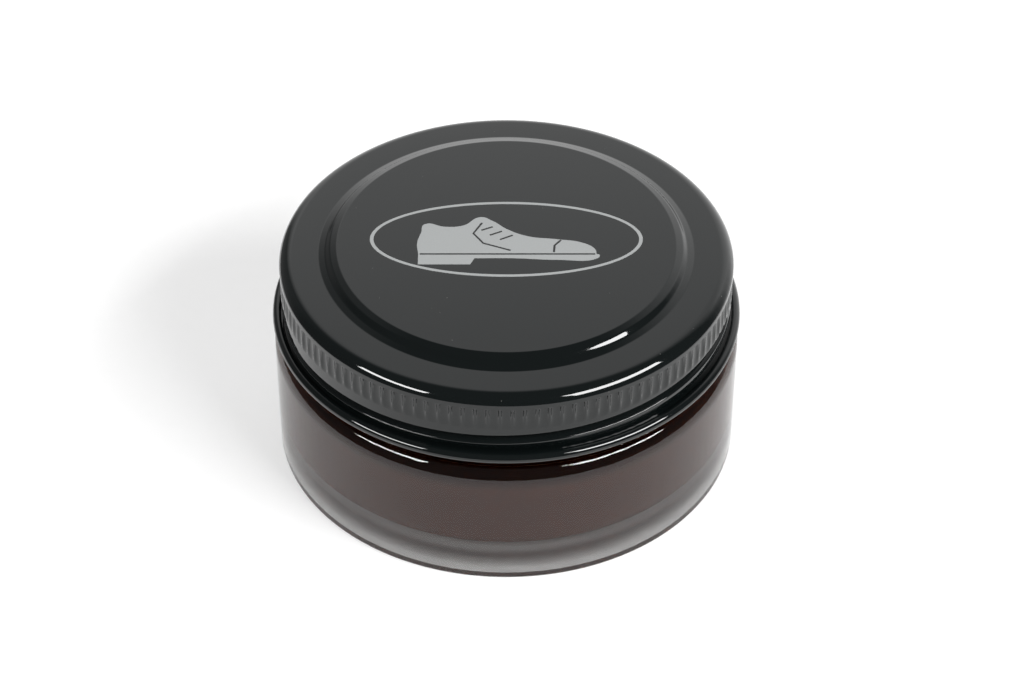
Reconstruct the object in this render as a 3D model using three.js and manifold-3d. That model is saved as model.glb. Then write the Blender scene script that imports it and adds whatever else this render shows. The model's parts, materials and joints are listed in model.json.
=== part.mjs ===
// A shoe cream jar: a straight-sided clear glass jar with a threaded neck, its fill of brown cream,
// and a pressed metal screw lid with a foam liner.
//
// Millimetres, +Z up. The origin is the centre of the jar's base, on the surface that it stands on.
// Angles round the axis are measured from the front (-Y), and grow towards +X, which is
// anticlockwise seen from above and the way the lid unscrews.

import * as THREE from "three";
import { mergeGeometries, mergeVertices } from "three/addons/utils/BufferGeometryUtils.js";
import Module from "manifold-3d";

const wasm = await Module();
wasm.setup();

// ---------------------------------------------------------------- driving dimensions

const JAR_RADIUS = 32.9; // straight outer wall
const SHOULDER_TOP = 19.8; // level shoulder from its edge in to the neck
const SHOULDER_START = 17.26; // the wall begins to round over here
const SHOULDER_ROUND = 3.4; // the wide arc, which turns through the first angle
const SHOULDER_TURN = 40; // degrees of the wide arc
const SHOULDER_EDGE_ROUND = 1.0; // the tight arc, which turns through the rest of the right angle
const HEEL_ROUND = 1.2;
const STANDING_RADIUS = 24.5; // inner edge of the flat ring that the jar stands on
const PUSH_UP = 0.8; // hollow under the middle of the base
const GLASS_WALL = 3.4;
const GLASS_BASE = 4.5;
const NECK_RADIUS = 29.5; // outside of the neck between its threads
const BORE_RADIUS = 27.4; // inside of the neck
const NECK_TOP = 30.5;
const LIP_ROUND = 0.6;

const THREAD_PITCH = 5.08; // 5 threads per inch
// Each thread: the radius that it reaches, the height of its middle at the front, half its width,
// the angles that it runs between, and how far it takes to fade in and out.
const LID_THREAD = { crest: 30.35, front: 24.7, halfWidth: 0.9, from: -130, to: 84, fade: 24 };
const GLASS_THREAD = { crest: 30.45, front: 26.1, halfWidth: 1.0, from: -200, to: 195, fade: 16 };

const CREAM_LEVEL = 24.3;
const CREAM_GAP = 0.2;

const LID_METAL = 0.35;
const LID_RADIUS = 31.7; // knurled band and the plain band under it
const LID_PANEL_TOP = 33.1;
const LID_RING_TOP = 31.9; // the flat ring round the raised panel
const PANEL_RADIUS = 23.5; // flat top of the raised panel
const PANEL_FOOT_RADIUS = 26.3;
const RIM_ROUND = 1.98;
const RIM_START = 20; // degrees of the rim's round left out where it creases into the upright wall
const KNURL_BOTTOM = 26.4;
const KNURL_BORE = 31.05; // inside of the lid behind the knurl
const SKIRT_TUCK = 0.2; // the skirt draws in by this much above its curl
const TUCK_TOP = 24.2;
const CURL_RADIUS = 0.75;
const CURL_CENTRE_R = 32.25;
const CURL_CENTRE_Z = 21.93;
const CURL_MEETS_SKIRT = 134; // degrees round the curl, where its edge closes on the skirt

const FLUTES = 120;
const FLUTE_DEPTH = 0.28;
const FLUTE_CUTTER_RADIUS = 1.05;
const FLUTE_CUTTER_SIDES = 8;
const FLUTE_BOTTOM = 26.55;
const FLUTE_TOP = 29.95;

const LINER_RADIUS = 29.5;
const LINER_THICKNESS = 0.75;
const LINER_GAP = 0.15;

const LID_COLUMNS = 60; // facets round the axis; a whole number of flutes falls on each
const JAR_COLUMNS = 48;
const THREAD_ROW = 0.6; // height of the facets that carry a thread

// ---------------------------------------------------------------- geometry helpers

// Goes from 0 to 1 with a level start and finish.
function ease(share) {
  return (1 - Math.cos(Math.PI * share)) / 2;
}

// Points [radius, height] round an arc in the half-plane through the axis.
function arc(centreR, centreZ, radius, fromDeg, toDeg, steps) {
  const points = [];
  for (let i = 0; i <= steps; i += 1) {
    const angle = THREE.MathUtils.degToRad(fromDeg + ((toDeg - fromDeg) * i) / steps);
    points.push([centreR + radius * Math.cos(angle), centreZ + radius * Math.sin(angle)]);
  }
  return points;
}

// Points up or down a wall whose radius is a function of height, at most one thread row apart.
function wall(radiusAt, fromZ, toZ) {
  const steps = Math.ceil(Math.abs(toZ - fromZ) / THREAD_ROW);
  const points = [];
  for (let i = 0; i <= steps; i += 1) {
    const z = fromZ + ((toZ - fromZ) * i) / steps;
    points.push([radiusAt(z), z]);
  }
  return points;
}

// Points along an S-shaped slope that is level where it starts and ends.
function levelSlope([fromR, fromZ], [toR, toZ], steps) {
  const points = [];
  for (let i = 0; i <= steps; i += 1) {
    points.push([fromR + ((toR - fromR) * i) / steps, fromZ + (toZ - fromZ) * ease(i / steps)]);
  }
  return points;
}

// Points along an S-shaped slope that is upright where it starts and ends.
function uprightSlope([fromR, fromZ], [toR, toZ], steps) {
  const points = [];
  for (let i = 0; i <= steps; i += 1) {
    points.push([fromR + (toR - fromR) * ease(i / steps), fromZ + ((toZ - fromZ) * i) / steps]);
  }
  return points;
}

// Turns an outline of [radius, height] points about the Z axis. The outline starts and ends on
// the axis and runs up the outside, which makes the faces point outwards.
function revolve(outline, columns) {
  const points = outline.map(([r, z]) => new THREE.Vector2(r, z));
  const geometry = new THREE.LatheGeometry(points, columns);
  geometry.rotateX(Math.PI / 2);
  return geometry;
}

// How much of a thread's full depth (0 to 1) there is at an angle (degrees from the front) and
// height: the largest of its turns there, each fading away at the thread's two ends.
function threadShare(thread, angleDeg, z) {
  let share = 0;
  for (const turn of [-360, 0, 360]) {
    const along = angleDeg + turn;
    const toEnd = Math.min(along - thread.from, thread.to - along);
    const offset = Math.abs(z - thread.front - (THREAD_PITCH * along) / 360) / thread.halfWidth;
    if (toEnd > 0 && offset < 1) {
      share = Math.max(share, ease(Math.min(1, toEnd / thread.fade)) * ease(1 - offset));
    }
  }
  return share;
}

// Moves the points of a revolved wall towards the radius that its thread reaches. crestAt gives
// that radius for a point of the threaded wall, and the point's own radius for any other.
function rollThread(geometry, thread, crestAt) {
  const position = geometry.getAttribute("position");
  for (let i = 0; i < position.count; i += 1) {
    const x = position.getX(i);
    const y = position.getY(i);
    const z = position.getZ(i);
    const r = Math.hypot(x, y);
    const depth = crestAt(r, z) - r;
    if (depth !== 0) {
      const angleDeg = THREE.MathUtils.radToDeg(Math.atan2(x, -y));
      const scale = 1 + (depth * threadShare(thread, angleDeg, z)) / r;
      position.setXYZ(i, x * scale, y * scale, z);
    }
  }
}

// A closed geometry as a manifold solid: shared corners merged and empty triangles left out.
function toSolid(geometry) {
  const bare = geometry.clone();
  bare.deleteAttribute("normal");
  bare.deleteAttribute("uv");
  const merged = mergeVertices(bare, 1e-4);
  const corners = merged.getIndex().array;
  const triangles = [];
  for (let i = 0; i < corners.length; i += 3) {
    const [a, b, c] = corners.slice(i, i + 3);
    if (a !== b && b !== c && c !== a) {
      triangles.push(a, b, c);
    }
  }
  const vertProperties = new Float32Array(merged.getAttribute("position").array);
  const mesh = new wasm.Mesh({ numProp: 3, vertProperties, triVerts: new Uint32Array(triangles) });
  return new wasm.Manifold(mesh);
}

function toGeometry(solid) {
  const mesh = solid.getMesh();
  const geometry = new THREE.BufferGeometry();
  geometry.setAttribute("position", new THREE.BufferAttribute(mesh.vertProperties, mesh.numProp));
  geometry.setIndex(new THREE.BufferAttribute(mesh.triVerts, 1));
  return geometry;
}

function namedMesh(name, geometry, color, roughness, metalness) {
  const material = new THREE.MeshStandardMaterial({ color, roughness, metalness });
  const mesh = new THREE.Mesh(geometry, material);
  mesh.name = name;
  return mesh;
}

// ---------------------------------------------------------------- the jar and its fill

const INNER_RADIUS = JAR_RADIUS - GLASS_WALL;
const INNER_ROUND = 2.0; // inside corner between the wall and the base
const INNER_SHOULDER_LOW = 17.2; // the inside draws in from here
const INNER_SHOULDER_HIGH = 20.4; // to here, where the neck's bore begins

function glassJar() {
  const wideArcCentre = [JAR_RADIUS - SHOULDER_ROUND, SHOULDER_START];
  const edgeShift = SHOULDER_ROUND - SHOULDER_EDGE_ROUND; // from the wide arc's centre
  const turn = THREE.MathUtils.degToRad(SHOULDER_TURN);
  const edgeCentreR = wideArcCentre[0] + edgeShift * Math.cos(turn);
  const neckFoot = SHOULDER_TOP + 0.4;
  const threadTop = NECK_TOP - LIP_ROUND;
  const outline = [
    [0, PUSH_UP],
    [STANDING_RADIUS - 2.5, PUSH_UP],
    [STANDING_RADIUS, 0],
    ...arc(JAR_RADIUS - HEEL_ROUND, HEEL_ROUND, HEEL_ROUND, -90, 0, 3),
    ...arc(wideArcCentre[0], wideArcCentre[1], SHOULDER_ROUND, 0, SHOULDER_TURN, 3),
    ...arc(edgeCentreR, SHOULDER_TOP - SHOULDER_EDGE_ROUND, SHOULDER_EDGE_ROUND, SHOULDER_TURN, 90, 2),
    [NECK_RADIUS + 0.3, SHOULDER_TOP],
    ...wall(() => NECK_RADIUS, neckFoot, threadTop),
    ...arc(NECK_RADIUS - LIP_ROUND, threadTop, LIP_ROUND, 45, 90, 1),
    ...arc(BORE_RADIUS + LIP_ROUND, threadTop, LIP_ROUND, 90, 180, 2),
    ...uprightSlope([BORE_RADIUS, INNER_SHOULDER_HIGH], [INNER_RADIUS, INNER_SHOULDER_LOW], 3),
    ...arc(INNER_RADIUS - INNER_ROUND, GLASS_BASE + INNER_ROUND, INNER_ROUND, 0, -90, 3),
    [0, GLASS_BASE],
  ];
  const geometry = revolve(outline, JAR_COLUMNS);
  const onNeck = (r, z) => Math.abs(r - NECK_RADIUS) < 0.01 && z > neckFoot + 0.1;
  rollThread(geometry, GLASS_THREAD, (r, z) => (onNeck(r, z) ? GLASS_THREAD.crest : r));
  return geometry;
}

// The cream fills the jar to a level just inside the neck.
function shoeCream() {
  const radius = INNER_RADIUS - CREAM_GAP;
  const neckRadius = BORE_RADIUS - CREAM_GAP;
  const bottom = GLASS_BASE + CREAM_GAP;
  const round = INNER_ROUND - CREAM_GAP;
  const outline = [
    [0, bottom],
    ...arc(radius - round, bottom + round, round, -90, 0, 3),
    ...uprightSlope([radius, INNER_SHOULDER_LOW - CREAM_GAP], [neckRadius, INNER_SHOULDER_HIGH], 3),
    [neckRadius, CREAM_LEVEL],
    [0, CREAM_LEVEL],
  ];
  return revolve(outline, JAR_COLUMNS);
}

// ---------------------------------------------------------------- the lid

// Outer radius of the skirt below the knurl, before its thread is rolled in.
function skirtRadius(z) {
  const curlEdge = CURL_CENTRE_Z + CURL_RADIUS * Math.sin(THREE.MathUtils.degToRad(CURL_MEETS_SKIRT));
  const share = THREE.MathUtils.clamp((TUCK_TOP - z) / (TUCK_TOP - curlEdge), 0, 1);
  return LID_RADIUS - SKIRT_TUCK * ease(share);
}

// The lid pressed from one disc of metal, seen in section from the middle of its underside,
// down the inside, round the curl, and up the outside to the middle of its top.
function lidOutline() {
  const underPanel = LID_PANEL_TOP - LID_METAL;
  const underRing = LID_RING_TOP - LID_METAL;
  const innerRound = RIM_ROUND - LID_METAL;
  const rimStart = THREE.MathUtils.degToRad(RIM_START);
  const rimCentreR = LID_RADIUS - RIM_ROUND * Math.cos(rimStart);
  const rimCentreZ = LID_RING_TOP - RIM_ROUND;
  const slopeShift = LID_METAL / 2; // keeps the metal's thickness down the panel's slope
  const insideSkirt = (z) => skirtRadius(z) - LID_METAL;
  return [
    [0, underPanel],
    ...levelSlope(
      [PANEL_RADIUS - slopeShift, underPanel],
      [PANEL_FOOT_RADIUS - slopeShift, underRing],
      3,
    ),
    ...arc(KNURL_BORE - innerRound, rimCentreZ, innerRound, 90, 0, 3),
    [KNURL_BORE, KNURL_BOTTOM],
    ...wall(insideSkirt, KNURL_BOTTOM - 0.3, CURL_CENTRE_Z + 0.3),
    ...arc(CURL_CENTRE_R, CURL_CENTRE_Z, CURL_RADIUS, 180, 360 + CURL_MEETS_SKIRT, 10),
    ...wall(skirtRadius, CURL_CENTRE_Z + CURL_RADIUS, KNURL_BOTTOM),
    ...arc(rimCentreR, rimCentreZ, RIM_ROUND, RIM_START, 90, 3),
    ...levelSlope([PANEL_FOOT_RADIUS, LID_RING_TOP], [PANEL_RADIUS, LID_PANEL_TOP], 4),
    [0, LID_PANEL_TOP],
  ];
}

// All the flutes of the knurl as one set of upright cutters, an edge of each pointing inwards.
function fluteCutters() {
  const facetRadius = LID_RADIUS * Math.cos(Math.PI / LID_COLUMNS);
  const cutters = [];
  for (let i = 0; i < FLUTES; i += 1) {
    const cutter = new THREE.CylinderGeometry(
      FLUTE_CUTTER_RADIUS,
      FLUTE_CUTTER_RADIUS,
      FLUTE_TOP - FLUTE_BOTTOM,
      FLUTE_CUTTER_SIDES,
    );
    cutter.rotateX(Math.PI / 2);
    cutter.translate(0, facetRadius - FLUTE_DEPTH + FLUTE_CUTTER_RADIUS, (FLUTE_TOP + FLUTE_BOTTOM) / 2);
    cutter.rotateZ((2 * Math.PI * (i + 0.5)) / FLUTES);
    cutters.push(cutter);
  }
  return mergeGeometries(cutters);
}

// The radius that the rolled thread gives a point of the lid: less by the metal's thickness on the
// inside of the skirt, and the point's own radius away from the skirt.
function lidThreadCrest(r, z) {
  const outside = skirtRadius(z);
  if (z < CURL_CENTRE_Z + 0.1 || z > KNURL_BOTTOM - 0.1 || r > outside + 0.05) {
    return r;
  }
  return r < outside - LID_METAL / 2 ? LID_THREAD.crest - LID_METAL : LID_THREAD.crest;
}

function lidShell() {
  const geometry = revolve(lidOutline(), LID_COLUMNS);
  rollThread(geometry, LID_THREAD, lidThreadCrest);
  return toGeometry(toSolid(geometry).subtract(toSolid(fluteCutters())));
}

// A foam disc in the top of the lid, which seals on the jar's lip.
function lidLiner() {
  const bottom = NECK_TOP + LINER_GAP;
  const outline = [
    [0, bottom],
    [LINER_RADIUS, bottom],
    [LINER_RADIUS, bottom + LINER_THICKNESS],
    [0, bottom + LINER_THICKNESS],
  ];
  return revolve(outline, JAR_COLUMNS);
}

// ---------------------------------------------------------------- the assembly

const jar = new THREE.Group();
jar.add(namedMesh("glass_jar", glassJar(), 0xdfe7e4, 0.05, 0));
jar.add(namedMesh("shoe_cream", shoeCream(), 0x3a170c, 0.45, 0));

const lid = new THREE.Group();
lid.add(namedMesh("lid_shell", lidShell(), 0x15181a, 0.22, 0.3));
lid.add(namedMesh("lid_liner", lidLiner(), 0xebeae4, 0.9, 0));

const assembly = new THREE.Group();
assembly.add(jar, lid);

export default assembly;
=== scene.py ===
"""A shoe cream jar: a clear glass jar, its brown cream, and a black pressed-metal screw lid.

Every piece but the flat print is a ring-stack mesh turned about the jar's axis, built in millimetres
and placed in the CAD frame in metres. Angles round the axis start at the front (-Y) and grow
towards +X.
"""
import json
import math

import bpy
import numpy as np
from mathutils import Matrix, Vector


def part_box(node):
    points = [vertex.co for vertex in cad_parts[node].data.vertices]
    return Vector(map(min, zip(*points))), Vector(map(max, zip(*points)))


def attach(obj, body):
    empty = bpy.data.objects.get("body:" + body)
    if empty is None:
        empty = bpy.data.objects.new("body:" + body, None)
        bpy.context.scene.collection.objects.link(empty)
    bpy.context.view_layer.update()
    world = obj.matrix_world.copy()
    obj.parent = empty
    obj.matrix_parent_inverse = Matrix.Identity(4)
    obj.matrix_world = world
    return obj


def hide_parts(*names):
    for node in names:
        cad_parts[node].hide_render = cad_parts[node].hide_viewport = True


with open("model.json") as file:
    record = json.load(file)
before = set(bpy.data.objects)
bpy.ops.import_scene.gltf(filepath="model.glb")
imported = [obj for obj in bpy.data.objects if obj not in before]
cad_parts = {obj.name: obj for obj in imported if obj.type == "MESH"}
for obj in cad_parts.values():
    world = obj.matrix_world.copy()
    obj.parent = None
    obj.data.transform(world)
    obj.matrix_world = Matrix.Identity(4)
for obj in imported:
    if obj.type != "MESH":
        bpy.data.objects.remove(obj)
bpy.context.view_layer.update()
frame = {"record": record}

MM = 0.001

# ---------------------------------------------------------------- sizes from the frame, in mm


def extent(node):
    """Greatest radius, lowest and highest point of a CAD node, in mm."""
    low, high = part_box(node)
    return high.x / MM, low.z / MM, high.z / MM


JAR_RADIUS, _, NECK_TOP = extent("glass_jar")
LID_RADIUS, CURL_BOTTOM, LID_TOP = extent("lid_shell")
_, _, CREAM_LEVEL = extent("shoe_cream")
LINER_RADIUS, LINER_BOTTOM, LINER_TOP = extent("lid_liner")
SCREW = frame["record"]["behaviour"]["couplings"][0]
THREAD_PITCH = SCREW["ratio"] * 2 * math.pi / MM

# ---------------------------------------------------------------- sizes of the glass, in mm

GLASS_WALL = 3.4
GLASS_BASE = 4.5
PUSH_UP = 0.8  # hollow under the middle of the base
STANDING_RADIUS = 24.5
HEEL_ROUND = 0.5
SHOULDER_TOP = 19.8
SHOULDER_ARC = {"centre": (29.5, 17.26), "radius": 3.4}  # from the upright wall
SHOULDER_EDGE = {"centre": (31.34, 18.8), "radius": 1.0}  # then a tighter arc to level
SHOULDER_TURN = 40  # degrees at which the one takes over from the other
NECK_RADIUS = 29.5
BORE_RADIUS = 27.4
LIP_ROUND = 0.6
INNER_ROUND = 2.0
INNER_SHOULDER = (17.2, 20.4)  # the inside draws in between these heights
STIPPLE_ROUGHNESS = (0.35, 0.8)  # of the glass underside, at the two radii below
STIPPLE_RADII = (24.5, 29)
STIPPLE_EDGE = 30.7  # the rest of the underside is smooth
GLASS_THREAD = {"crest": 30.45, "front": 26.1, "half_width": 0.85, "from": -200, "to": 195, "fade": 16}

CREAM_AT_WALL = (0.040, 0.0105, 0.0048)
# painted shade: the cream's colour up at the neck, darkened beyond its own colour
CREAM_SHADED_AT_NECK = (0.0055, 0.0012, 0.0004)
CREAM_SHADE_FADE = (14.6, 16.2)  # heights between which the one turns into the other: painted shade that darkens the cream towards the neck
CREAM_BITE = 0.04  # the cream reaches this far into the glass wall, so that no air shows between them
CREAM_SURFACE_DEPTH = 1.5  # faces within this of the cream's level are its free surface
CREAM_DIP = 0.35  # its surface between the meniscus and the middle lies this far under its level
MENISCUS = 0.35
CREAM_SINK = 0.45
CREAM_SWIRL = 0.07
CREAM_RIPPLE = 0.03

# ---------------------------------------------------------------- sizes of the lid, in mm

METAL = 0.3
CURL_RADIUS = 0.75
CURL_CENTRE = (LID_RADIUS - CURL_RADIUS, CURL_BOTTOM + CURL_RADIUS)
CURL_ROLL = (180, 484)  # degrees that the curl's outside runs through, from the skirt's inside
NOTCH_DEPTH = 0.25  # the crevice between the curl's edge and the skirt
NOTCH_DRAW_IN = 0.02
RAW_EDGE_TURN = 16  # degrees of the curl, up to its end, that are its raw edge
RAW_EDGE_ROWS = 4
EDGE_WRINKLE = 0.045  # waviness of the raw edge
SKIRT_RADIUS = LID_RADIUS - 1.3
SKIRT_TUCK = 0.2
TUCK_TOP = 24.2
RIM_ROUND = 1.98
RIM_START = 20  # degrees of the rim's round left out where it creases into the upright wall
RING_TOP = LID_TOP - 1.2
PANEL_RADIUS = 23.5
PANEL_FOOT_RADIUS = 26.3
# of the slope between them: its bends' widths and its steep middle's half width, as shares of its width
FLANK_BEND = 0.08
FLANK_MIDDLE = 0.11
FLANK_EXTRA = 1.6  # how much steeper its middle is than the rest, as a share
LID_THREAD = {"crest": 30.35, "front": 24.7, "half_width": 0.7, "from": -130, "to": 84, "fade": 24}
THREAD_TIP = 0.25  # how round a thread's crest is, as a share of its half width
THREAD_FOOT = 0.05  # and how round it is where it meets the wall

FLUTES = 120
FLUTE_DEPTH = 0.25
FLUTE_UNEVENNESS = 0.12  # how much the depth differs from flute to flute, as a share
FLUTE_BOTTOM = 26.5
FLUTE_TOP = 29.98
FLUTE_STEP = 0.06  # height over which a flute's upper end drops to its full depth
FLUTE_RAMP = ((0.0, 0.0), (0.3, 0.3), (0.75, 0.7), (1.3, 0.95))  # height and depth share up the lower end
RIDGE_WIDTH = 0.19  # half width of the rounded ridge between two flutes, as a share of their pitch
LOWER_RISE = 0.3  # how much higher a flute's lower end is at the ridges than in its middle
UPPER_DROP = 0.12
FLUTE_COLUMNS = (-0.5, -0.455, -0.41, -0.36, -0.3, -0.2, 0.0, 0.2, 0.3, 0.36, 0.41, 0.455)
WALL_TOP = 26.3  # the threaded part of the skirt ends here, just under the flutes

FINE_ANGLES = np.array([(i + u) * 2 * math.pi / FLUTES for i in range(FLUTES) for u in FLUTE_COLUMNS])
ANGLES = FINE_ANGLES[::4]

# ---------------------------------------------------------------- the print on the lid, in mm

PRINT_THICKNESS = 0.02
PRINT_CENTRE_Y = 0.7
OVAL = (19.0, 8.4)
OVAL_LINE = 0.5

# ---------------------------------------------------------------- camera and light

CAMERA_PLACE = (0.0, -0.31577, 0.28284)
CAMERA_DOWN = 40.283  # degrees below level
CAMERA_LENS = 102.1
CAMERA_SHIFT = 0.0036

# direction from the jar (degrees round from the front, degrees up), size and brightness
LEFT_BOX = {"toward": (-56, 33.5), "size": (0.55, 0.18), "radiance": 22}
RIGHT_BOX = {"toward": (56, 39.5), "size": (0.72, 0.28), "radiance": 22}
LIGHT_DISTANCE = 1.0
FLOOR_ALBEDO = 0.55
FLOOR_GLOW = 0.44  # painted light: the sheet glows evenly, which evens it out and lightens its shadows, as paper lit from all round
FLOOR_MOTTLE = 1.03  # brightness of its palest patches beside the rest
FLOOR_RADIUS = 0.14  # a sheet; past its edge the room is dark
FLOOR_GAP = 0.00003
# the backdrop's brightness by the height of the direction's unit vector (0 level, 1 straight up)
BACKDROP_BY_HEIGHT = (
    (0.0, 1.45), (0.55, 1.2), (0.66, 0.9), (0.80, 0.85), (0.90, 0.5), (0.97, 0.25), (1.0, 0.2),
)
# and its share across the room, from 0 at the far left to 1 at the far right
BACKDROP_ACROSS = ((0.25, 0.1), (0.39, 1.0), (0.82, 1.0), (0.95, 0.35))
BACKDROP_FROM_BEHIND = (0.3, 0.58)  # its share goes from none to full over this span of +Y
ROOM_LEVEL = 0.1
WHITE_LEVEL = 1.2  # what the camera itself sees instead of the room

# ---------------------------------------------------------------- outlines


def ease(share):
    """0 to 1 with a level start and finish."""
    return (1 - np.cos(np.pi * np.clip(share, 0, 1))) / 2


def arc(centre, radius, start, end, steps):
    """Points (radius, height) round an arc, between two angles in degrees."""
    angles = [math.radians(start + (end - start) * i / steps) for i in range(steps + 1)]
    return [(centre[0] + radius * math.cos(a), centre[1] + radius * math.sin(a)) for a in angles]


def spread(start, end, steps):
    """Evenly spaced numbers from start to end."""
    return [start + (end - start) * i / steps for i in range(steps + 1)]


def level_slope(start, end, steps):
    """Points along an S-shaped slope that is level at both ends."""
    radii = spread(start[0], end[0], steps)
    return [(r, start[1] + (end[1] - start[1]) * float(ease(i / steps))) for i, r in enumerate(radii)]


def pressed_slope(start, end, steps):
    """Points along a slope with tight bends at both ends, a straight flank and a steeper middle."""
    share = (np.arange(steps) + 0.5) / steps
    flank = ease(share / FLANK_BEND) * ease((1 - share) / FLANK_BEND)
    middle = FLANK_EXTRA * np.exp(-(((share - 0.5) / FLANK_MIDDLE) ** 4))
    progress = np.cumsum(flank + middle) / np.sum(flank + middle)
    radii = spread(start[0], end[0], steps)
    return [start] + [(r, start[1] + (end[1] - start[1]) * p) for r, p in zip(radii[1:], progress)]


def upright_slope(start, end, steps):
    """Points along an S-shaped slope that is upright at both ends."""
    heights = spread(start[1], end[1], steps)
    return [(start[0] + (end[0] - start[0]) * float(ease(i / steps)), z) for i, z in enumerate(heights)]


# ---------------------------------------------------------------- ring-stack meshes


def ring(r, z, angles=ANGLES):
    """One row of points round the axis; r and z are numbers, or arrays with a value per angle."""
    r = np.broadcast_to(r, angles.shape)
    z = np.broadcast_to(z, angles.shape)
    return np.column_stack([r * np.sin(angles), -r * np.cos(angles), z])


def pole(z):
    """A row that is one point on the axis."""
    return np.array([[0.0, 0.0, z]])


def rings(outline, angles=ANGLES):
    return [ring(r, z, angles) for r, z in outline]


def stitch(first, columns, second, other_columns):
    """Faces between two rows that start at these indices. A row may be a pole, or four times finer."""
    faces = []
    if columns == 1:
        return [(first, second + (i + 1) % other_columns, second + i) for i in range(other_columns)]
    if other_columns == 1:
        return [(first + i, first + (i + 1) % columns, second) for i in range(columns)]
    if columns == other_columns:
        for i in range(columns):
            j = (i + 1) % columns
            faces.append((first + i, first + j, second + j, second + i))
        return faces
    fine_first = columns > other_columns
    coarse, fine = (second, first) if fine_first else (first, second)
    count = min(columns, other_columns)
    for i in range(count):
        here, there = coarse + i, coarse + (i + 1) % count
        along = [fine + (4 * i + k) % (4 * count) for k in range(5)]
        fan = [
            (here, along[1], along[0]),
            (here, along[2], along[1]),
            (here, there, along[2]),
            (there, along[3], along[2]),
            (there, along[4], along[3]),
        ]
        faces += [face[::-1] for face in fan] if fine_first else fan
    return faces


def turned(name, rows, sharp_degrees=50):
    """A closed, smooth-shaded object from rows that run from the axis back to the axis."""
    starts = np.cumsum([0] + [len(row) for row in rows])
    faces = []
    for i in range(len(rows) - 1):
        faces += stitch(int(starts[i]), len(rows[i]), int(starts[i + 1]), len(rows[i + 1]))
    mesh = bpy.data.meshes.new(name)
    mesh.from_pydata(np.concatenate(rows) * MM, [], faces)
    mesh.validate()
    mesh.shade_smooth()
    mesh.set_sharp_from_angle(angle=math.radians(sharp_degrees))
    piece = bpy.data.objects.new(name, mesh)
    bpy.context.scene.collection.objects.link(piece)
    return piece


def thread_profile(offset):
    """Depth of a V-shaped thread, 1 at its middle and fading out past its edges, where offset is 1."""
    def cone(offset):
        return THREAD_FOOT * np.log1p(np.exp((1 - np.hypot(offset, THREAD_TIP)) / THREAD_FOOT))

    return cone(offset) / cone(0)


def thread_share(thread, angles, z):
    """How much of a thread's full depth (0 to 1) there is at each angle, at one height."""
    share = np.zeros(angles.shape)
    degrees = (np.degrees(angles) + 180) % 360 - 180
    for turn in (-360, 0, 360):
        along = degrees + turn
        to_end = np.minimum(along - thread["from"], thread["to"] - along)
        offset = np.abs(z - thread["front"] - THREAD_PITCH * along / 360) / thread["half_width"]
        share = np.maximum(share, ease(to_end / thread["fade"]) * thread_profile(offset))
    return share


def threaded_rings(radius_at, thread, crest, heights):
    """Rows up or down a wall, drawn towards the crest radius where its thread runs."""
    rows = []
    for z in heights:
        r = radius_at(z)
        rows.append(ring(r + (crest - r) * thread_share(thread, ANGLES, z), z))
    return rows


# ---------------------------------------------------------------- the glass jar and the cream

INNER_RADIUS = JAR_RADIUS - GLASS_WALL
NECK_FOOT = SHOULDER_TOP + 0.4
LIP_START = NECK_TOP - LIP_ROUND


def glass_jar():
    heel = (JAR_RADIUS - HEEL_ROUND, HEEL_ROUND)
    wall_top = SHOULDER_ARC["centre"][1]
    neck_foot = [(NECK_RADIUS + 0.3, SHOULDER_TOP), (NECK_RADIUS + 0.09, SHOULDER_TOP + 0.12)]  # a fillet
    rows = [pole(PUSH_UP)]
    rows += rings(level_slope((STANDING_RADIUS - 4, PUSH_UP), (STANDING_RADIUS, 0), 12))
    rows += rings([(STANDING_RADIUS + 1, 0), (STIPPLE_EDGE, 0)])
    rows += rings(arc(heel, HEEL_ROUND, -90, 0, 14))
    rows += rings([(JAR_RADIUS, z) for z in spread(HEEL_ROUND + 1, wall_top - 1, 6)])
    rows += rings(arc(**SHOULDER_ARC, start=0, end=SHOULDER_TURN - 2, steps=14))
    rows += rings(arc(**SHOULDER_EDGE, start=SHOULDER_TURN, end=90, steps=12))
    rows += rings(neck_foot)
    rows += threaded_rings(
        lambda z: NECK_RADIUS, GLASS_THREAD, GLASS_THREAD["crest"], spread(NECK_FOOT, LIP_START, 72)
    )
    rows += rings(arc((NECK_RADIUS - LIP_ROUND, LIP_START), LIP_ROUND, 9, 90, 9))
    rows += rings(arc((BORE_RADIUS + LIP_ROUND, LIP_START), LIP_ROUND, 90, 180, 10))
    rows += rings(upright_slope((BORE_RADIUS, INNER_SHOULDER[1]), (INNER_RADIUS, INNER_SHOULDER[0]), 16))
    rows += rings(arc((INNER_RADIUS - INNER_ROUND, GLASS_BASE + INNER_ROUND), INNER_ROUND, 0, -90, 16))
    rows.append(pole(GLASS_BASE))
    piece = turned("glass_jar_clear", rows)
    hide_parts("glass_jar")
    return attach(piece, "jar")


def cream_top(r, angles):
    """Height of the set cream: a meniscus at the neck, a sunk middle, and a faint swirl."""
    share = r / BORE_RADIUS
    meniscus = MENISCUS * np.exp((share - 1) * 22)
    sink = -CREAM_SINK * np.exp(-((share / 0.35) ** 2))
    swirl = CREAM_SWIRL * np.sin(3 * angles + 9 * share) * share * (1 - share)
    ripples = CREAM_RIPPLE * np.cos(34 * share) * np.exp(-share * 2.5)
    return CREAM_LEVEL - CREAM_DIP + meniscus + sink + swirl + ripples


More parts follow.
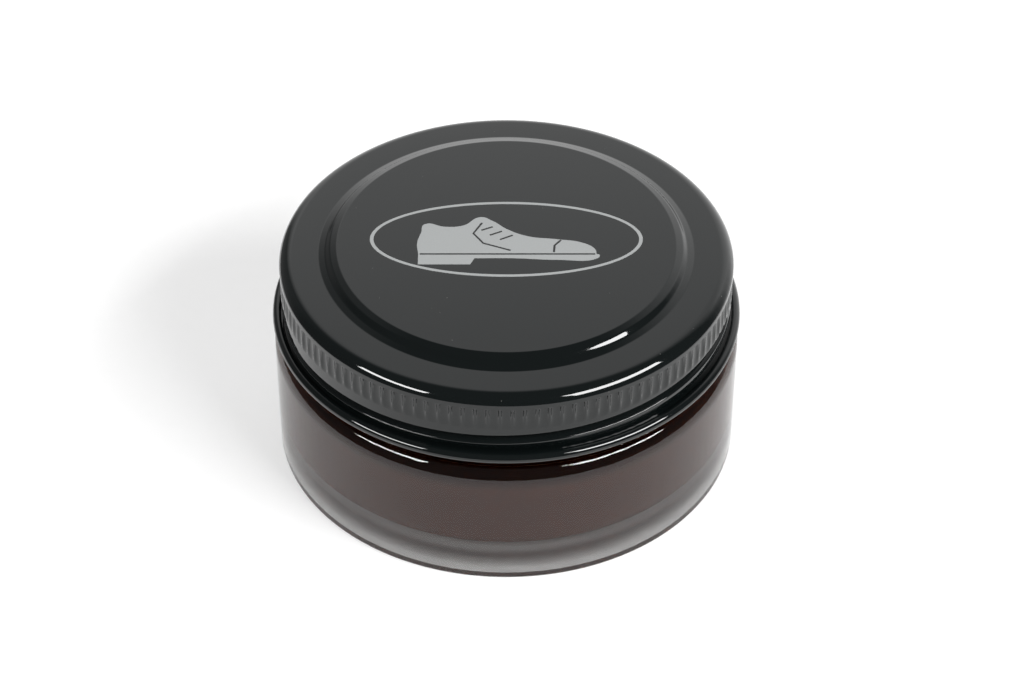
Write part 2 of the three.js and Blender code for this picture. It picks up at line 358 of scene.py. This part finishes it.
def shoe_cream():
    wall = INNER_RADIUS + CREAM_BITE
    bore = BORE_RADIUS + CREAM_BITE
    bottom = GLASS_BASE - CREAM_BITE
    rows = [pole(bottom)]
    rows += rings(arc((wall - INNER_ROUND, bottom + INNER_ROUND), INNER_ROUND, -90, 0, 16))
    rows += rings(upright_slope((wall, INNER_SHOULDER[0]), (bore, INNER_SHOULDER[1]), 16))
    radii = spread(bore, 0, 60)[:-1]
    rows += [ring(r, cream_top(r, ANGLES)) for r in radii]
    rows.append(pole(float(cream_top(0.0, ANGLES)[0])))
    piece = turned("shoe_cream_fill", rows)
    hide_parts("shoe_cream")
    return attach(piece, "jar")


# ---------------------------------------------------------------- the lid


def skirt_radius(z):
    """Outer radius of the skirt below the knurl, before its thread is rolled in."""
    edge = CURL_CENTRE[1] + CURL_RADIUS * math.sin(math.radians(CURL_ROLL[1]))
    return SKIRT_RADIUS - SKIRT_TUCK * float(ease((TUCK_TOP - z) / (TUCK_TOP - edge)))


def knurl_rows(radius):
    """Rows up the knurl of a wall: flutes that run out gently below and end steeply above."""
    flute = FINE_ANGLES * FLUTES / (2 * math.pi)
    from_ridge = 0.5 - np.abs((flute + 0.5) % 1 - 0.5)
    ridge = np.exp(-((from_ridge / RIDGE_WIDTH) ** 2))
    uneven = 1 + FLUTE_UNEVENNESS * np.sin(2.4 * np.round(flute))
    depth = FLUTE_DEPTH * uneven * (1 - ridge)
    low = FLUTE_BOTTOM + LOWER_RISE * ridge
    high = FLUTE_TOP - UPPER_DROP * ridge
    rows = [ring(radius, FLUTE_BOTTOM - FLUTE_STEP, FINE_ANGLES)]
    rows += [ring(radius - share * depth, low + rise, FINE_ANGLES) for rise, share in FLUTE_RAMP]
    rows += [ring(radius - depth, high - FLUTE_STEP, FINE_ANGLES), ring(radius, high, FINE_ANGLES)]
    return rows


def curl_rows():
    """The rolled lower edge. Its last stretch is the sheet's raw edge, which is slightly wrinkled."""
    start, end = CURL_ROLL
    raw_edge_from = end - RAW_EDGE_TURN
    rows = rings(arc(CURL_CENTRE, CURL_RADIUS, start, raw_edge_from, 30))
    long_waves = 0.5 * np.sin(97 * FINE_ANGLES + 1)
    short_waves = 0.5 * np.sin(163 * FINE_ANGLES + 2 * np.sin(5 * FINE_ANGLES))
    for i in range(1, RAW_EDGE_ROWS + 1):
        share = i / RAW_EDGE_ROWS
        turn = math.radians(raw_edge_from + RAW_EDGE_TURN * share)
        radius = CURL_RADIUS + EDGE_WRINKLE * (long_waves + short_waves) * share
        r = CURL_CENTRE[0] + radius * math.cos(turn)
        z = CURL_CENTRE[1] + radius * math.sin(turn)
        rows.append(ring(r, z, FINE_ANGLES))
    edge_r = CURL_CENTRE[0] + CURL_RADIUS * math.cos(math.radians(end))
    edge_z = CURL_CENTRE[1] + CURL_RADIUS * math.sin(math.radians(end))
    rows.append(ring(edge_r - NOTCH_DRAW_IN, edge_z - NOTCH_DEPTH))
    return rows, edge_z


def lid_shell():
    under_panel = LID_TOP - METAL
    under_ring = RING_TOP - METAL
    inner_round = RIM_ROUND - METAL
    bore = SKIRT_RADIUS - METAL
    shift = METAL / 2  # keeps the metal's thickness down the panel's slope
    inner_crest = LID_THREAD["crest"] - METAL
    rim = (SKIRT_RADIUS - RIM_ROUND * math.cos(math.radians(RIM_START)), RING_TOP - RIM_ROUND)
    rim_foot = rim[1] + RIM_ROUND * math.sin(math.radians(RIM_START))

    rows = [pole(under_panel)]
    panel_edge, panel_foot = (PANEL_RADIUS, LID_TOP), (PANEL_FOOT_RADIUS, RING_TOP)
    inner_edge, inner_foot = (PANEL_RADIUS - shift, under_panel), (PANEL_FOOT_RADIUS - shift, under_ring)
    rows += rings(pressed_slope(inner_edge, inner_foot, 20))
    rows += rings(arc((bore - inner_round, rim[1]), inner_round, 90, 3, 10))
    rows += knurl_rows(bore)[::-1]
    wall_bottom = CURL_CENTRE[1] + 0.4
    inner_heights = spread(WALL_TOP, wall_bottom, 36)
    rows += threaded_rings(lambda z: skirt_radius(z) - METAL, LID_THREAD, inner_crest, inner_heights)
    curl, edge_z = curl_rows()
    rows += curl
    notch_bottom = edge_z - NOTCH_DEPTH
    rows += threaded_rings(skirt_radius, LID_THREAD, LID_THREAD["crest"], spread(notch_bottom, WALL_TOP, 72))
    rows += knurl_rows(SKIRT_RADIUS)
    rows += rings([(SKIRT_RADIUS, FLUTE_TOP + 0.06), (SKIRT_RADIUS, rim_foot - 0.05)])
    rows += rings(arc(rim, RIM_ROUND, RIM_START, 90, 16))
    rows += rings(pressed_slope(panel_foot, panel_edge, 40))
    rows.append(pole(LID_TOP))
    piece = turned("lid_shell_lacquered", rows)
    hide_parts("lid_shell")
    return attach(piece, "lid")


def lid_liner():
    """A foam disc with the ring that the jar's lip has pressed into its underside."""
    edge = 0.15
    imprint = 0.1
    lip_middle = (BORE_RADIUS + NECK_RADIUS) / 2
    lip_half = (NECK_RADIUS - BORE_RADIUS) / 2
    rows = [pole(LINER_BOTTOM)]
    for share in spread(-1.4, 1.15, 18):
        r = lip_middle + lip_half * share
        rows.append(ring(r, LINER_BOTTOM + imprint * float(ease(2.2 - 2 * abs(share)))))
    rows += rings(arc((LINER_RADIUS - edge, LINER_BOTTOM + edge), edge, -60, 0, 4))
    rows += rings(arc((LINER_RADIUS - edge, LINER_TOP - edge), edge, 0, 90, 5))
    rows.append(pole(LINER_TOP))
    piece = turned("lid_liner_foam", rows)
    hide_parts("lid_liner")
    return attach(piece, "liner")


# ---------------------------------------------------------------- the print on the lid


def add_spline(curve, points, smooth):
    """A closed Bezier outline through these points. Joins are smooth, except where marked as a corner."""
    spline = curve.splines.new("BEZIER")
    spline.bezier_points.add(len(points) - 1)
    for knot, (x, y, *corner) in zip(spline.bezier_points, points):
        knot.co = (x, y, 0)
        kind = "AUTO" if smooth and not corner else "VECTOR"
        knot.handle_left_type = kind
        knot.handle_right_type = kind
    spline.use_cyclic_u = True


def ellipse(half_width, half_height, steps=48):
    turns = [2 * math.pi * i / steps for i in range(steps)]
    return [(half_width * math.cos(t), half_height * math.sin(t)) for t in turns]


CORNER = "corner"
SHOE = [
    (-12.2, -5.7, CORNER), (-12.2, -3.4, CORNER), (-12.4, -1.0), (-11.9, 1.4), (-11.4, 3.3), (-8.6, 2.7),
    (-6.0, 3.0), (-3.6, 4.9), (-1.9, 4.0), (0.3, 2.0), (3.2, 0.5), (7.0, -0.1), (10.6, -0.9), (12.3, -2.3),
    (12.5, -3.4, CORNER), (12.9, -3.6), (12.5, -4.4), (7.0, -4.7), (1.0, -4.35), (-4.4, -4.35, CORNER),
    (-5.0, -5.7, CORNER),
]
SEAM_LINES = [
    [(-12.0, -3.4), (12.3, -3.4)],
    [(-3.4, 3.6), (-4.6, 1.2), (-3.2, -1.0), (0.6, -2.6)],
    [(7.6, -0.3), (6.7, -1.5), (6.6, -3.0)],
]
LACES = [((-1.9, 2.7), (-3.5, 1.9)), ((-0.6, 1.7), (-2.3, 0.8)), ((0.9, 0.8), (-0.9, -0.2))]
LINE_HALF_WIDTH = 0.16


def band(points, half_width):
    """A thin closed outline round a line through these points."""
    points = [np.array(p, float) for p in points]
    left, right = [], []
    for i, point in enumerate(points):
        along = points[min(i + 1, len(points) - 1)] - points[max(i - 1, 0)]
        across = np.array([-along[1], along[0]]) / np.linalg.norm(along) * half_width
        left.append(tuple(point + across))
        right.append(tuple(point - across))
    return left + right[::-1]


def printed_mesh(islands):
    """One flat mesh from islands, each a list of outlines: the first is filled, the rest are holes."""
    parts = []
    for outlines in islands:
        curve = bpy.data.curves.new("print_outline", "CURVE")
        curve.dimensions = "2D"
        curve.fill_mode = "BOTH"
        curve.extrude = PRINT_THICKNESS / 2
        curve.resolution_u = 8
        for points, smooth in outlines:
            add_spline(curve, points, smooth)
        holder = bpy.data.objects.new("print_outline", curve)
        bpy.context.scene.collection.objects.link(holder)
        bpy.context.view_layer.update()
        filled = holder.evaluated_get(bpy.context.evaluated_depsgraph_get())
        parts.append(bpy.data.meshes.new_from_object(filled))
        bpy.data.objects.remove(holder)
    points = [np.array([v.co for v in part.vertices]) for part in parts]
    faces, base = [], 0
    for part, corners in zip(parts, points):
        faces += [tuple(base + i for i in face.vertices) for face in part.polygons]
        base += len(corners)
    places = np.concatenate(points) + np.array([0, PRINT_CENTRE_Y, LID_TOP])
    mesh = bpy.data.meshes.new("lid_print")
    mesh.from_pydata(places * MM, [], faces)
    mesh.validate()
    return mesh


def lid_print():
    """A plain shoe in a thin oval, printed in silver-grey ink."""
    seams = [(band(line, LINE_HALF_WIDTH), False) for line in SEAM_LINES]
    laces = [(band(line, LINE_HALF_WIDTH), False) for line in LACES]
    islands = [
        [(ellipse(*OVAL), True), (ellipse(OVAL[0] - OVAL_LINE, OVAL[1] - OVAL_LINE), True)],
        [(SHOE, True)] + seams + laces,
    ]
    piece = bpy.data.objects.new("lid_print", printed_mesh(islands))
    bpy.context.scene.collection.objects.link(piece)
    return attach(piece, "lid")


# ---------------------------------------------------------------- materials

GLASS = (0.985, 0.995, 0.99, 1)
LACQUER = (0.0030, 0.0044, 0.0045)
DUST = (0.16, 0.16, 0.15)
CREAM_TOP = ((0.020, 0.0065, 0.0035), (0.028, 0.009, 0.0045))
FOAM = ((0.80, 0.79, 0.75), (0.86, 0.85, 0.81))
INK = ((0.26, 0.27, 0.27), (0.31, 0.32, 0.32))


def shader(name, **values):
    """A material, its node tree and its Principled shader, with plain values on the shader's sockets."""
    material = bpy.data.materials.new(name)
    material.use_nodes = True
    principled = material.node_tree.nodes["Principled BSDF"]
    for socket, value in values.items():
        principled.inputs[socket.replace("_", " ")].default_value = value
    return material, material.node_tree, principled


def node(tree, kind, **values):
    """A new node. Values are set by socket name, or as a property if there is no such socket."""
    made = tree.nodes.new(kind)
    for name, value in values.items():
        socket = made.inputs.get(name.replace("_", " "))
        if socket is not None:
            socket.default_value = value
        else:
            setattr(made, name, value)
    return made


def link(tree, output, socket):
    tree.links.new(output, socket)


def noise(tree, grain_mm, detail=2.0):
    """Noise whose grains are about this size."""
    place = node(tree, "ShaderNodeTexCoord")
    made = node(tree, "ShaderNodeTexNoise", Scale=1 / (grain_mm * MM), Detail=detail)
    link(tree, place.outputs["Object"], made.inputs["Vector"])
    return made


def bump(tree, principled, height, depth_mm, strength=1.0):
    """Raises the surface by a height output times this depth."""
    made = node(tree, "ShaderNodeBump", Strength=strength, Distance=depth_mm * MM)
    link(tree, height, made.inputs["Height"])
    link(tree, made.outputs["Normal"], principled.inputs["Normal"])


def vary(tree, source, socket, low, high):
    """Spreads a noise's middle range over low to high and feeds it to a socket."""
    made = node(tree, "ShaderNodeMapRange", From_Min=0.3, From_Max=0.7, To_Min=low, To_Max=high)
    link(tree, source, made.inputs["Value"])
    link(tree, made.outputs["Result"], socket)


def mix_colors(tree, source, socket, first, second, low=0.3, high=0.7):
    """Goes from one colour to another as a value goes from low to high."""
    ramp = node(tree, "ShaderNodeValToRGB")
    ramp.color_ramp.elements[0].position = low
    ramp.color_ramp.elements[0].color = (*first, 1)
    ramp.color_ramp.elements[1].position = high
    ramp.color_ramp.elements[1].color = (*second, 1)
    link(tree, source, ramp.inputs["Fac"])
    link(tree, ramp.outputs["Color"], socket)


def dust(tree, spacing_mm, radius_share):
    """1 on sparse round specks and 0 elsewhere."""
    place = node(tree, "ShaderNodeTexCoord")
    cells = node(tree, "ShaderNodeTexVoronoi", Scale=1 / (spacing_mm * MM))
    link(tree, place.outputs["Object"], cells.inputs["Vector"])
    speck = node(tree, "ShaderNodeMath", operation="LESS_THAN")
    speck.inputs[1].default_value = radius_share
    link(tree, cells.outputs["Distance"], speck.inputs[0])
    return speck.outputs["Value"]


def black_lacquer():
    """Glossy black enamel on steel: faint orange peel, a little dust."""
    material, tree, principled = shader("black_lacquer", IOR=1.5)
    specks = dust(tree, spacing_mm=2.3, radius_share=0.02)
    mix_colors(tree, specks, principled.inputs["Base Color"], LACQUER, DUST)
    vary(tree, noise(tree, 6.0).outputs["Fac"], principled.inputs["Roughness"], 0.03, 0.06)
    bump(tree, principled, noise(tree, 0.9).outputs["Fac"], 0.0012)
    return material


def clear_glass():
    """Plain soda-lime glass."""
    material, _, _ = shader("clear_glass", Base_Color=GLASS, Transmission_Weight=1.0, Roughness=0.0, IOR=1.5)
    return material


def stippled_glass():
    """The underside of the jar, pressed with a stipple that is coarsest at the rim."""
    material, tree, principled = shader("stippled_glass", Base_Color=GLASS, Transmission_Weight=1.0, IOR=1.5)
    place = node(tree, "ShaderNodeTexCoord")
    radius = node(tree, "ShaderNodeVectorMath", operation="LENGTH")
    link(tree, place.outputs["Object"], radius.inputs[0])
    inner, outer = (r * MM for r in STIPPLE_RADII)
    low, high = STIPPLE_ROUGHNESS
    rough = node(tree, "ShaderNodeMapRange", From_Min=inner, From_Max=outer, To_Min=low, To_Max=high)
    link(tree, radius.outputs["Value"], rough.inputs["Value"])
    link(tree, rough.outputs["Result"], principled.inputs["Roughness"])
    return material


def cream_in_glass():
    """Where the cream wets the glass: its own colour, with no gloss of its own, and painted shade that
    darkens it up at the neck.
    """
    material, tree, principled = shader("cream_in_glass", Roughness=0.9, Specular_IOR_Level=0.0)
    place = node(tree, "ShaderNodeTexCoord")
    parts = node(tree, "ShaderNodeSeparateXYZ")
    link(tree, place.outputs["Object"], parts.inputs["Vector"])
    low, high = (z * MM for z in CREAM_SHADE_FADE)
    height = node(tree, "ShaderNodeMapRange", From_Min=low, From_Max=high)
    link(tree, parts.outputs["Z"], height.inputs["Value"])
    color = principled.inputs["Base Color"]
    # painted shade: the cream turns darker up towards the neck
    mix_colors(tree, height.outputs["Result"], color, CREAM_AT_WALL, CREAM_SHADED_AT_NECK, low=0, high=1)
    return material


def cream_surface():
    """The set top of the cream, waxy, with fine dents."""
    material, tree, principled = shader("cream_surface", IOR=1.45)
    patches = noise(tree, 5.0).outputs["Fac"]
    mix_colors(tree, patches, principled.inputs["Base Color"], *CREAM_TOP)
    vary(tree, noise(tree, 3.0).outputs["Fac"], principled.inputs["Roughness"], 0.32, 0.46)
    bump(tree, principled, noise(tree, 0.8, detail=4.0).outputs["Fac"], 0.02)
    return material


def white_foam():
    """Polyethylene foam with fine cells."""
    material, tree, principled = shader("white_foam", Roughness=0.7)
    place = node(tree, "ShaderNodeTexCoord")
    cells = node(tree, "ShaderNodeTexVoronoi", Scale=1 / (0.35 * MM))
    link(tree, place.outputs["Object"], cells.inputs["Vector"])
    mix_colors(tree, cells.outputs["Distance"], principled.inputs["Base Color"], *FOAM)
    bump(tree, principled, cells.outputs["Distance"], 0.05)
    return material


def silver_print():
    """Silver-grey ink, flat beside the lacquer's gloss."""
    material, tree, principled = shader("silver_print", IOR=1.45)
    grain = noise(tree, 0.12, detail=3.0).outputs["Fac"]
    mix_colors(tree, grain, principled.inputs["Base Color"], *INK)
    vary(tree, grain, principled.inputs["Roughness"], 0.35, 0.5)
    return material


def pale_floor():
    # painted light: the floor glows evenly, which lightens the shadows on it
    material, tree, principled = shader(
        "pale_floor",
        Specular_IOR_Level=0.2,
        Roughness=0.9,
        Emission_Color=(1, 1, 1, 1),
        Emission_Strength=FLOOR_GLOW,
    )
    pale = (FLOOR_ALBEDO, FLOOR_ALBEDO, FLOOR_ALBEDO)
    paler = tuple(FLOOR_MOTTLE * c for c in pale)
    mix_colors(tree, noise(tree, 2.0).outputs["Fac"], principled.inputs["Base Color"], pale, paler)
    return material


# ---------------------------------------------------------------- stage


def camera():
    lens = bpy.data.cameras.new("camera")
    lens.lens = CAMERA_LENS
    lens.shift_x = CAMERA_SHIFT
    lens.clip_start = 0.01
    holder = bpy.data.objects.new("camera", lens)
    holder.location = CAMERA_PLACE
    holder.rotation_euler = (math.radians(90 - CAMERA_DOWN), 0, 0)
    bpy.context.scene.collection.objects.link(holder)
    bpy.context.scene.camera = holder


def floor():
    mesh = bpy.data.meshes.new("floor")
    outer = ring(FLOOR_RADIUS, -FLOOR_GAP)
    mesh.from_pydata(outer, [], [tuple(range(len(outer)))])
    piece = bpy.data.objects.new("floor", mesh)
    bpy.context.scene.collection.objects.link(piece)
    mesh.materials.append(pale_floor())


def softbox(name, toward, size, radiance):
    """A rectangular area light that faces the jar, bright enough to show as this radiance."""
    azimuth, elevation = (math.radians(a) for a in toward)
    direction = (
        math.sin(azimuth) * math.cos(elevation),
        -math.cos(azimuth) * math.cos(elevation),
        math.sin(elevation),
    )
    light = bpy.data.lights.new(name, "AREA")
    light.shape = "RECTANGLE"
    light.size, light.size_y = size
    light.energy = radiance * math.pi * size[0] * size[1]
    holder = bpy.data.objects.new(name, light)
    holder.location = [LIGHT_DISTANCE * d for d in direction]
    holder.rotation_euler = (math.radians(90) - elevation, 0, azimuth)
    bpy.context.scene.collection.objects.link(holder)


def gray_ramp(tree, source, stops):
    """A level that follows a value through these (value, level) stops."""
    made = node(tree, "ShaderNodeValToRGB")
    ramp = made.color_ramp
    for element, (position, level) in zip(ramp.elements, (stops[0], stops[-1])):
        element.position = position
        element.color = (level, level, level, 1)
    for position, level in stops[1:-1]:
        ramp.elements.new(position).color = (level, level, level, 1)
    link(tree, source, made.inputs["Fac"])
    return made.outputs["Color"]


def studio_world():
    """A bright backdrop behind the jar, in a dim room. The camera sees plain white."""
    world = bpy.data.worlds.new("studio")
    world.use_nodes = True
    tree = world.node_tree
    tree.nodes.clear()
    place = node(tree, "ShaderNodeTexCoord")
    parts = node(tree, "ShaderNodeSeparateXYZ")
    link(tree, place.outputs["Generated"], parts.inputs["Vector"])
    upward = gray_ramp(tree, parts.outputs["Z"], BACKDROP_BY_HEIGHT)
    sideways = node(tree, "ShaderNodeMapRange", From_Min=-1.0, From_Max=1.0)
    link(tree, parts.outputs["X"], sideways.inputs["Value"])
    across = gray_ramp(tree, sideways.outputs["Result"], BACKDROP_ACROSS)
    none, full = BACKDROP_FROM_BEHIND
    behind = node(tree, "ShaderNodeMapRange", From_Min=none, From_Max=full)
    link(tree, parts.outputs["Y"], behind.inputs["Value"])
    share = node(tree, "ShaderNodeMath", operation="MULTIPLY")
    link(tree, behind.outputs["Result"], share.inputs[0])
    link(tree, across, share.inputs[1])
    blend = node(tree, "ShaderNodeMix", data_type="RGBA")
    blend.inputs[6].default_value = (ROOM_LEVEL, ROOM_LEVEL, ROOM_LEVEL, 1)
    link(tree, share.outputs["Value"], blend.inputs[0])
    link(tree, upward, blend.inputs[7])
    seen = node(tree, "ShaderNodeLightPath")
    camera_mix = node(tree, "ShaderNodeMix", data_type="RGBA")
    camera_mix.inputs[7].default_value = (WHITE_LEVEL, WHITE_LEVEL, WHITE_LEVEL, 1)
    link(tree, seen.outputs["Is Camera Ray"], camera_mix.inputs[0])
    link(tree, blend.outputs[2], camera_mix.inputs[6])
    background = node(tree, "ShaderNodeBackground")
    link(tree, camera_mix.outputs[2], background.inputs["Color"])
    output = node(tree, "ShaderNodeOutputWorld")
    link(tree, background.outputs["Background"], output.inputs["Surface"])
    bpy.context.scene.world = world


# ---------------------------------------------------------------- the scene

camera()
floor()
softbox("left_softbox", **LEFT_BOX)
softbox("right_softbox", **RIGHT_BOX)
studio_world()
bpy.context.scene.view_settings.view_transform = "Standard"
bpy.context.scene.cycles.use_denoising = True

jar = glass_jar()
jar.data.materials.append(clear_glass())
jar.data.materials.append(stippled_glass())
for face in jar.data.polygons:
    underside = face.normal.z < -0.95 and face.center.z < GLASS_BASE / 2 * MM
    if underside and math.hypot(face.center.x, face.center.y) < STIPPLE_EDGE * MM:
        face.material_index = 1

cream = shoe_cream()
cream.data.materials.append(cream_in_glass())
cream.data.materials.append(cream_surface())
top_faces = (CREAM_LEVEL - CREAM_SURFACE_DEPTH) * MM
for face in cream.data.polygons:
    if face.center.z > top_faces:
        face.material_index = 1

lid_shell().data.materials.append(black_lacquer())
lid_liner().data.materials.append(white_foam())
lid_print().data.materials.append(silver_print())
